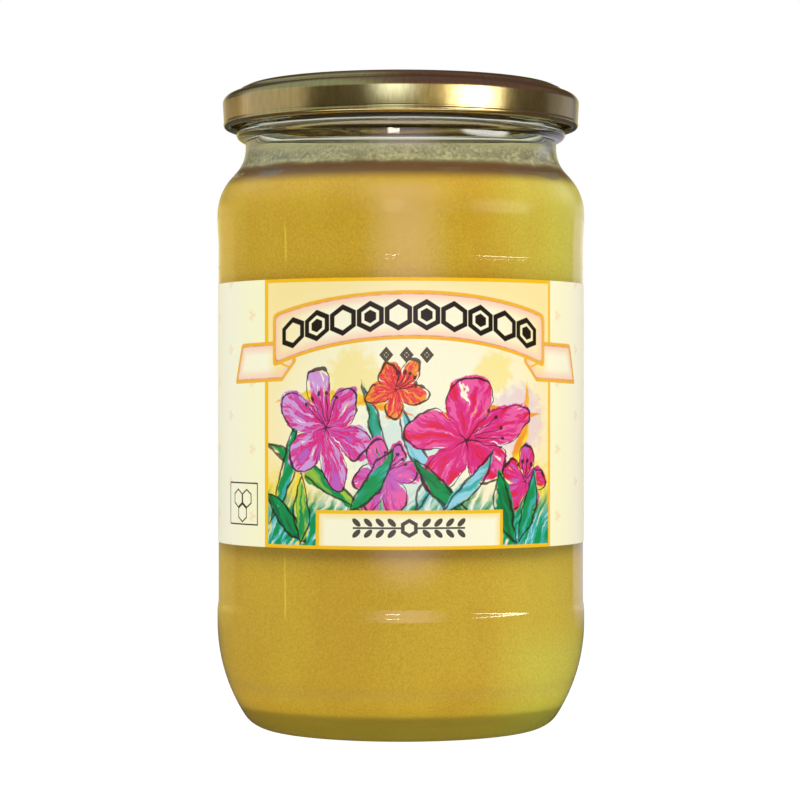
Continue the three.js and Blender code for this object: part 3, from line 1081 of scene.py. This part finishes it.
def small_ornament(sheet):
    """Three open diamonds with a dot between each two, under the banner."""
    shader = sheet.shader
    x = sheet.along - DIAMONDS_ALONG
    y = sheet.up - DIAMONDS_UP
    third = x.math("WRAP", DIAMOND_HALF_PITCH, -DIAMOND_HALF_PITCH)
    diamonds = abs(third) + abs(y) * DIAMOND_SLANT - DIAMOND_HALF_WIDTH
    diamonds = diamonds.math("MAXIMUM", abs(x) - DIAMOND_ROW_HALF_LENGTH)
    between = abs(x).math("WRAP", DIAMOND_HALF_PITCH, -DIAMOND_HALF_PITCH)
    dots = (between ** 2 + y * y - 0.2).math("MAXIMUM", abs(x) - 5)
    heart = abs(third) + abs(y) * DIAMOND_SLANT - DIAMOND_HEART
    sheet.lay(UMBER, shader.inside(diamonds.math("MAXIMUM", -heart).math("MINIMUM", dots), CRISP))


def plaque(sheet):
    """A framed box at the foot of the front, with a leafy garland."""
    shader = sheet.shader
    x = sheet.along - PLAQUE_MIDDLE
    box = (abs(x) - PLAQUE_HALF_LENGTH).math("MAXIMUM", sheet.up - PLAQUE_HEIGHT)
    sheet.lay(GOLD, shader.inside(box, CRISP))
    fill = shader.mix(STRAW, CREAM, shader.between(box, *PLAQUE_SHADE))
    inner = (box + FRAME_LINE).math("MAXIMUM", FRAME_LINE - sheet.up)
    sheet.lay(fill, shader.inside(inner, CRISP))
    x = x + GARLAND_OFF_MIDDLE
    side = abs(x)
    y = sheet.up - GARLAND_UP
    beat = ((side - GARLAND_START) / LEAF_PITCH).math("FRACT") - 0.5
    lift = abs(y) - LEAF_LIFT
    blade_x = beat * LEAF_PITCH * LEAF_TURN_ALONG + lift * LEAF_TURN_UP
    blade_y = lift * LEAF_TURN_ALONG - beat * LEAF_PITCH * LEAF_TURN_UP
    blades = blade_x * blade_x + (blade_y * 2.0) ** 2 - LEAF_ROUNDNESS
    reach = LEAF_PITCH * LEAF_PAIRS / 2
    blades = blades.math("MAXIMUM", abs(side - GARLAND_START - reach) - reach)
    stem = (abs(y) - STEM_HALF_WIDTH).math("MAXIMUM", side - GARLAND_START - 2 * reach + 0.5)
    flower = hexagon(x, y, FLOWER_APOTHEM)
    dark = blades.math("MINIMUM", stem).math("MINIMUM", flower)
    sheet.lay(SEPIA, shader.inside(dark, CRISP) * 0.94)
    sheet.lay(CREAM, shader.inside(flower + FLOWER_RIM, CRISP))


def side_pattern(sheet, front):
    """Faint five-petalled sprigs in staggered columns round the sides and the back."""
    shader = sheet.shader
    column = sheet.along / SPRIG_COLUMN + 0.34
    x = column.math("FRACT") - 0.5
    shift = (column * 0.5).math("FRACT").math("GREATER_THAN", 0.5) * 0.5
    y = (sheet.up / SPRIG_ROW + 0.05 + shift).math("FRACT") - 0.5
    near = shader.join(x * SPRIG_COLUMN, y * SPRIG_ROW)
    reach = near.length()
    lobes = abs((y.math("ARCTAN2", x) * 2.5).math("COSINE"))
    faint = shader.between(reach - lobes * 1.3, 0.5, -0.4) * (1 - front)
    sheet.lay(PEACH, faint * (0.3 + sheet.pressure * 0.5))


def side_mark(sheet):
    """A small plain frame of three cells, on the left side panel."""
    shader = sheet.shader
    x = sheet.along + MARK_TO_LEFT
    y = sheet.up - MARK_UP
    frame_line = (abs(x) - MARK_HALF_WIDTH).math("MAXIMUM", abs(y) - MARK_HALF_HEIGHT)
    frame_line = abs(frame_line) - MARK_HALF_LINE
    cells = hexagon(abs(x) - MARK_CELL_ASIDE, y - MARK_CELL_RAISED, MARK_CELL)
    cells = cells.math("MINIMUM", hexagon(x, y + MARK_CELL_LOWERED, MARK_CELL))
    cells = abs(cells) - MARK_CELL_HALF_LINE
    sheet.lay(SEPIA, shader.inside(frame_line.math("MINIMUM", cells), CRISP))


def meadow(sheet):
    """Brush strokes of grass along the foot of the picture."""
    shader = sheet.shader
    slope = sheet.local(sheet.brush, (0, 0), GRASS_TURN, 1.0)
    strokes = shader.noise(slope.stretched((0.13, 0.85, 1)), 1.0, 2.0)
    height = shader.between(sheet.up + strokes * GRASS_RAGGED, *GRASS_TOP)
    grass = shader.mix(LEAF, TEAL, shader.between(strokes, *GRASS_INKS))
    grass = shader.mix(grass, SKY, shader.between(strokes, *GRASS_THIRD_INK))
    sheet.lay(grass, height * (1 - shader.between(strokes, *GRASS_BARE)))


WASHES = (
    # centre, size, ink, strength, squash
    ((-29, 7), 13, SUN, 0.9, 1.0),
    ((35, 7), 9, SUN, 0.9, 1.7),
    ((2, 20), 15, SKY, 0.4, 1.0),
    ((29, 29), 10, LILAC, 0.4, 1.0),
    ((-11, 39), 8, SUN, 0.5, 1.0),
    ((22, 40), 6, SUN, 0.5, 1.0),
)


BLOOMS = (
    # centre, size, petals, turn, inks, squash
    ((15.5, 25.0), 15.5, 5, 20, (CRIMSON, MAGENTA, PINK), 0.8),
    ((-17.5, 27.5), 13.5, 6, 100, (VIOLET, MAGENTA, LILAC), 0.8),
    ((-1.0, 36.5), 7.5, 5, 50, (CORAL, CRIMSON, ORANGE), 0.85),
    ((-3.5, 17.0), 9.5, 6, 60, (MAGENTA, VIOLET, PINK), 0.72),
    ((31.0, 15.5), 8.0, 5, 80, (VIOLET, MAGENTA, CRIMSON), 0.9),
)

BACK_LEAVES = (
    # foot, turn, length, width, bend, inks
    ((-31.5, 33.0), 12, 34, 3.0, -0.3, (ORANGE, SUN)),
    ((36.5, 30.0), 168, 33, 2.6, 0.28, (ORANGE, SUN)),
    ((-2.0, 8.0), 96, 30, 2.6, 0.12, (LEAF, TEAL)),
    ((12.0, 8.0), 128, 28, 3.8, -0.22, (TEAL, SKY)),
    ((-8.0, 8.0), 138, 30, 3.6, 0.2, (LEAF, LIME)),
    ((24.0, 8.0), 62, 30, 3.0, 0.25, (ORANGE, SUN)),
    ((-26.0, 4.0), 84, 34, 2.2, -0.14, (ORANGE, SUN)),
    ((-33.0, 6.0), 58, 24, 3.4, 0.25, (TEAL, LEAF)),
    ((3.0, 8.6), 64, 24, 3.4, -0.2, (TEAL, SKY)),
)

FRONT_LEAVES = (
    # foot, turn, length, width, bend, inks
    ((28.0, 1.2), 116, 17, 4.6, -0.18, (LEAF, MOSS)),
    ((29.0, 1.2), 62, 17, 4.0, 0.2, (LEAF, TEAL)),
    ((-22.5, 1.2), 128, 17, 4.4, 0.18, (MOSS, LEAF)),
    ((-24.0, 1.2), 84, 15, 3.8, 0.1, (LEAF, LIME)),
    ((-12.0, 8.6), 40, 17, 3.8, 0.25, (TEAL, LEAF)),
    ((15.0, 8.6), 146, 17, 3.6, -0.2, (LEAF, MOSS)),
    ((9.0, 8.6), 30, 18, 3.2, 0.3, (TEAL, SKY)),
)


def picture(sheet):
    """Loose garden flowers in watercolour and pen. The yellow strokes have no outline."""
    for blot in WASHES:
        wash(sheet, *blot)
    meadow(sheet)
    for stroke in BACK_LEAVES:
        leaf(sheet, *stroke, outlined=stroke[-1] != (ORANGE, SUN))
    for bloom in BLOOMS:
        blossom(sheet, *bloom)
    for stroke in FRONT_LEAVES:
        leaf(sheet, *stroke)


def label_material():
    """The print, from its ground up: the picture, its frame, the plaque, the sides and the
    ribbon with its cells."""
    shader = new_shader("printed_paper")
    x, y, z = shader.place().parts()
    along = x.math("ARCTAN2", -y) * LABEL_OUTER_RADIUS
    up = z / MM - LABEL_BOTTOM
    sheet = Sheet(shader, along, up, BUTTER)

    middle = sheet.local(sheet.paper, GROUND_MIDDLE, 0, GROUND_SIZE, GROUND_SQUASH)
    sheet.colour = shader.mix(CREAM, STRAW, shader.between(middle.length(), 0.4, 1.1))
    picture(sheet)

    within = sheet.span(along, FRONT_LEFT + FRAME_LEFT_LINE, FRONT_RIGHT - FRAME_LINE)
    within = within * sheet.span(up, FRAME_LINE, LABEL_HEIGHT - FRAME_LINE)
    sheet.lay(GOLD, 1 - within)
    plaque(sheet)
    front = sheet.span(along, FRONT_LEFT, FRONT_RIGHT)
    margin = shader.mix(BUTTER, CHALK, shader.between(abs(along - RIBBON_MIDDLE), *MARGIN_FADE))
    sheet.colour = shader.mix(margin, sheet.colour, front)
    side_pattern(sheet, front)
    side_mark(sheet)
    rel, arch = ribbon(sheet)
    honeycomb(sheet, rel, up - arch)
    small_ornament(sheet)

    fibres = shader.noise(sheet.paper.stretched((1, 0.5, 1)), 6.0, 3.0, 0.6)
    return shader.surface(
        Base_Color=sheet.colour, Roughness=0.42, Specular_IOR_Level=0.4,
        Normal=shader.bump(fibres, 0.01 * MM, 0.5),
    )


def lap_over(label):
    """Raises the paper's outer face at the back, where its end lies over its beginning. The
    raised end is cut square on one side and runs out gently on the other."""
    outer = LABEL_OUTER_RADIUS

    def outside(face):
        near = math.hypot(face.center.x, face.center.y) / MM > outer - SLACK
        at_back = face.center.y > 0 and abs(math.atan2(face.center.x, face.center.y)) < LAP_WIDTH / 2
        return near and at_back and abs(face.normal.z) < 0.9
    bpy.ops.object.select_all(action="DESELECT")
    label.select_set(True)
    bpy.context.view_layer.objects.active = label
    bpy.ops.object.mode_set(mode="EDIT")
    bpy.ops.mesh.select_all(action="DESELECT")
    bpy.ops.mesh.select_mode(type="FACE")
    bpy.ops.object.mode_set(mode="OBJECT")
    for face in label.data.polygons:
        face.select = outside(face)
    bpy.ops.object.mode_set(mode="EDIT")
    bpy.ops.mesh.extrude_region_shrink_fatten(
        TRANSFORM_OT_shrink_fatten={"value": LABEL_THICKNESS * MM},
    )
    bpy.ops.mesh.select_all(action="SELECT")
    bpy.ops.mesh.normals_make_consistent(inside=False)
    bpy.ops.mesh.select_mode(type="VERT")
    bpy.ops.object.mode_set(mode="OBJECT")
    ends = [math.atan2(vertex.co.x, vertex.co.y) for vertex in label.data.vertices
            if math.hypot(vertex.co.x, vertex.co.y) / MM > outer + SLACK]
    for vertex in label.data.vertices:
        radius = math.hypot(vertex.co.x, vertex.co.y) / MM
        if radius > outer + SLACK and math.atan2(vertex.co.x, vertex.co.y) < min(ends) + 0.001:
            share = (outer + LAP_RUN_OUT) / radius
            vertex.co.x *= share
            vertex.co.y *= share


def make_label():
    inner, outer = LABEL_INNER_RADIUS, LABEL_OUTER_RADIUS
    foot, top = LABEL_BOTTOM, LABEL_BOTTOM + LABEL_HEIGHT
    outline = [
        (inner, foot), (outer - LABEL_BEVEL, foot), (outer, foot + LABEL_BEVEL),
        (outer, top - LABEL_BEVEL), (outer - LABEL_BEVEL, top), (inner, top), (inner, foot),
    ]
    label = turned("label", outline, closed=True)
    lap_over(label)
    return finished(label, label_material(), "label", "label")


# Studio. Lengths are in metres, and angles in degrees. An azimuth is measured to the right of the
# camera's own side. A height in the surround is the Z of a direction.

FLOOR_HALF_WIDTH = 4
FLOOR_GLOW = 0.8
FLOOR_ALBEDO = (0.06, 0.06, 0.06, 1)
FLOOR_GLOW_START = (-0.8, -0.45)
UNDER_JAR = (0.6, 0.62, 0.38, 1)

FRONT_GLOOM = (0.08, 0.075, 0.07, 1)
GLOOM_TOP = (0.15, 0.5)
UPPER_LEFT = (0.3, 0.4, 0.5, 1)
UPPER_RIGHT = (0.13, 0.09, 0.16, 1)
LEFT_TO_RIGHT = (-0.45, 0.1)
BACK_LEFT = (0.36, 0.29, 0.17, 1)
BACK_LEFT_AZIMUTH = (-108, -122)
BACK_RIGHT = (0.22, 0.2, 0.2, 1)
BACK_RIGHT_AZIMUTH = (118, 132)
BACK_SIDES_HEIGHT = (0.14, 0.1)
BACK_MIDDLE = (0.5, 0.46, 0.24, 1)
BACK_MIDDLE_AZIMUTH = (150, 166)
BACK_MIDDLE_HEIGHT = (0.3, 0.16)
AHEAD_AZIMUTH = (90, 60)
AHEAD_HEIGHT = (0.12, 0.25)
BACK_HIGH = (0.08, 0.055, 0.025, 1)
BACK_HIGH_AZIMUTH = (125, 150)
BACK_HIGH_FOOT = (0.2, 0.32)
BACK_HIGH_TOP = (0.9, 0.6)

LAMP_AIM = 0.077
CARD_DISTANCE = 1.6
CAMERA_PLACE = (0, -0.6665, 0.0774)
CAMERA_LENS = 124.26
CAMERA_SENSOR = 36
CAMERA_SHIFT_RIGHT = -0.0011
CAMERA_SHIFT_UP = 0.00625
FOOT_CARD_PLACE = (0, -0.28, 0.003)

SOFT_LAMPS = (
    # name, azimuth, elevation, distance, width, height, radiance
    ("front_lamp", 5, 46, 1.2, 1.2, 0.8, 4.0),
    ("back_lamp", 185, 46, 1.2, 1.2, 0.8, 3.0),
    ("left_lamp", -105, 30, 1.2, 0.8, 0.8, 3.4),
    ("right_lamp", 95, 30, 1.2, 0.8, 0.8, 3.4),
)

HAZE = (2.2, 1.75, 2.2)
EDGE_SOFTNESS = (0.12, 0.12, 0.1)

GLASS_CARDS = (
    # name, azimuths, elevations, colour, softness, distance
    ("high_haze_card", (-28, 34), (20, 58), HAZE, (0.48, 0.4, 0.6), CARD_DISTANCE),
    ("glint_card", (42, 88), (6.8, 9.0), (14, 14, 13), (0.2, 0.3, 0.3), CARD_DISTANCE),
    ("core_card", (-10, 0), (6.8, 9.0), (24, 22, 19), (0.2, 0.3, 0.3), CARD_DISTANCE),
    ("right_edge_card", (124, 174), (-20, 22), (0.55, 0.5, 0.6), EDGE_SOFTNESS, 0.2),
    ("left_edge_card", (-174, -114), (-20, 22), (0.42, 0.33, 0.1), EDGE_SOFTNESS, 0.2),
    ("shoulder_card", (112, 150), (6, 34), (0.9, 0.95, 1.1), (0.5, 0.4, 0.5), CARD_DISTANCE),
)

LID_CARDS = (
    ("left_lid_card", (-128, -56), (-8, 32), (0.4, 0.42, 0.5), (0.2, 0.2, 0.45), CARD_DISTANCE),
    ("pale_lid_card", (-24, 16), (2, 34), (2.0, 2.6, 4.0), (0.5, 0.2, 0.75), CARD_DISTANCE),
    ("gold_lid_card", (6, 44), (-6, 32), (0.3, 0.28, 0.2), (0.2, 0.2, 0.5), CARD_DISTANCE),
    ("white_lid_card", (24, 72), (-6, 34), (6, 6.2, 7.4), (0.48, 0.2, 0.7), CARD_DISTANCE),
    ("right_lid_card", (104, 150), (-6, 16), (0.12, 0.14, 0.2), (0.2, 0.2, 0.3), CARD_DISTANCE),
)


def make_floor():
    """A plain pale floor. It glows, so that the jar is lit from below as on a light table, and
    its glow is yellow under the jar, where it only gets light that has been through the honey."""
    bpy.ops.object.select_all(action="DESELECT")
    bpy.ops.mesh.primitive_plane_add(size=2 * FLOOR_HALF_WIDTH)
    floor = bpy.context.object
    floor.name = "floor"
    shader = new_shader("pale_floor")
    place = shader.place()
    seen, mirrored, through = shader.rays()
    foot = BODY_RADIUS * MM
    beside = shader.between(place.length(), foot * 0.85, foot * 1.3)
    near = shader.between(place.parts()[1], *FLOOR_GLOW_START).math("MAXIMUM", through)
    glow = (near * (1 - mirrored) * FLOOR_GLOW).math("MAXIMUM", seen)
    colour = shader.mix(UNDER_JAR, WHITE, beside.math("MAXIMUM", seen))
    shader.surface(
        Base_Color=FLOOR_ALBEDO, Roughness=1.0, Specular_IOR_Level=0.0,
        Emission_Color=colour, Emission_Strength=glow,
    )
    floor.data.materials.append(shader.owner)


def make_world():
    """White to the camera. To the jar it is dim in front, warmer at the back on the left and
    cooler on the right, with a pale middle behind and, through glass, ahead."""
    world = bpy.data.worlds.new("studio")
    bpy.context.scene.world = world
    world.cycles.sampling_method = "MANUAL"
    world.cycles.sample_map_resolution = 512
    shader = Shader(world)
    x, y, z = shader.node("TexCoord", {}, output="Generated").parts()
    around = x.math("ARCTAN2", -y) * (180 / math.pi)
    off = abs(around)
    high = shader.mix(UPPER_LEFT, UPPER_RIGHT, shader.between(x, *LEFT_TO_RIGHT))
    light = shader.mix(FRONT_GLOOM, high, shader.between(z, *GLOOM_TOP))
    level = shader.between(abs(z), *BACK_SIDES_HEIGHT)
    left = shader.between(around, *BACK_LEFT_AZIMUTH) * level
    right = shader.between(around, *BACK_RIGHT_AZIMUTH) * level
    seen, _, through = shader.rays()
    ahead = shader.between(off, *AHEAD_AZIMUTH) * shader.between(z, *AHEAD_HEIGHT) * through
    middle = shader.between(off, *BACK_MIDDLE_AZIMUTH) * shader.between(abs(z), *BACK_MIDDLE_HEIGHT)
    middle = middle.math("MAXIMUM", ahead)
    light = shader.mix(light, BACK_LEFT, left)
    light = shader.mix(light, BACK_RIGHT, right)
    light = shader.mix(light, BACK_MIDDLE, middle)
    behind = shader.between(off, *BACK_HIGH_AZIMUTH) * shader.between(z, *BACK_HIGH_FOOT)
    light = shader.mix(light, BACK_HIGH, behind * shader.between(z, *BACK_HIGH_TOP))
    light = shader.mix(light, WHITE, seen)
    background = shader.node("Background", {}, {"Color": light, "Strength": 1.0})
    shader.node("OutputWorld", {}, {"Surface": background})


def lamp_at(name, azimuth, elevation, distance, width, height, radiance):
    """A flat lamp that faces the jar."""
    lamp = bpy.data.lights.new(name, "AREA")
    lamp.shape = "RECTANGLE"
    lamp.size = width
    lamp.size_y = height
    lamp.energy = radiance * math.pi * width * height
    holder = bpy.data.objects.new(name, lamp)
    turn = math.radians(azimuth)
    rise = math.radians(elevation)
    level = math.cos(rise)
    away = Vector((math.sin(turn) * level, -math.cos(turn) * level, math.sin(rise)))
    holder.location = Vector((0, 0, LAMP_AIM)) + away * distance
    holder.rotation_euler = away.to_track_quat("Z", "Y").to_euler()
    holder.visible_camera = False
    bpy.context.scene.collection.objects.link(holder)
    return holder


def soft_lamp(name, *place_and_radiance):
    """A wide lamp that lights matt things and doesn't show in gloss."""
    holder = lamp_at(name, *place_and_radiance)
    holder.visible_glossy = False
    holder.visible_transmission = False


def card(name, sides, ends, colour, softness, distance, *pieces):
    """A white card that only shows in the gloss of some pieces. Its sides are azimuths and its
    ends elevations. Its softness is how far in its sides, its lower and its upper end have
    faded out, as a share of the way across."""
    left, right = sides
    low, high = ends
    width = 2 * distance * math.tan(math.radians(right - left) / 2)
    height = 2 * distance * math.tan(math.radians(high - low) / 2)
    holder = lamp_at(name, (left + right) / 2, (low + high) / 2, distance, width, height, 1.0)
    holder.visible_diffuse = False
    holder.visible_transmission = False
    shader = Shader(holder.data)
    u, v, _ = shader.node("NewGeometry", {}, output="Parametric").parts()
    side, lower, upper = softness
    share = shader.between(abs(u - 0.5), 0.5, 0.5 - side)
    share = share * shader.between(v, 0.0, lower) * shader.between(v, 1.0, 1.0 - upper)
    emission = shader.node("Emission", {}, {"Color": (*colour, 1), "Strength": share})
    shader.node("OutputLight", {}, {"Surface": emission})
    shown_in = bpy.data.collections.new(name)
    for piece in pieces:
        shown_in.objects.link(piece)
    holder.light_linking.receiver_collection = shown_in
    return holder


def make_camera():
    """Level, in front of the jar, at the height of the middle of its label."""
    camera = bpy.data.cameras.new("camera")
    camera.lens = CAMERA_LENS
    camera.sensor_width = CAMERA_SENSOR
    camera.shift_x = CAMERA_SHIFT_RIGHT
    camera.shift_y = CAMERA_SHIFT_UP
    holder = bpy.data.objects.new("camera", camera)
    holder.location = CAMERA_PLACE
    holder.rotation_euler = (math.radians(90), 0, 0)
    bpy.context.scene.collection.objects.link(holder)
    bpy.context.scene.camera = holder


def make_studio():
    scene = bpy.context.scene
    scene.view_settings.view_transform = "Standard"
    scene.cycles.caustics_refractive = False
    scene.cycles.caustics_reflective = False
    make_world()
    make_camera()
    make_floor()
    for lamp in SOFT_LAMPS:
        soft_lamp(*lamp)


def make_cards(glass, label, lid):
    """What shows in the gloss of the glass, the coated paper and the lacquered lid."""
    card("haze_card", (-27, 34), (-8.3, 40), HAZE, (0.48, 0.04, 0.4), 0.5, glass, label)
    for shown in GLASS_CARDS:
        card(*shown, glass)
    for shown in LID_CARDS:
        card(*shown, lid)
    foot = card(
        "foot_lid_card", (-14, 14), (-5, 5), (1.3, 1.35, 1.5), (0.2, 0.2, 0.2), CARD_DISTANCE, lid,
    )
    foot.location = FOOT_CARD_PLACE
    foot.rotation_euler = (math.pi, 0, 0)


make_studio()
glass = make_glass()
make_honey()
make_film()
lid = make_lid()
label = make_label()
make_cards(glass, label, lid)
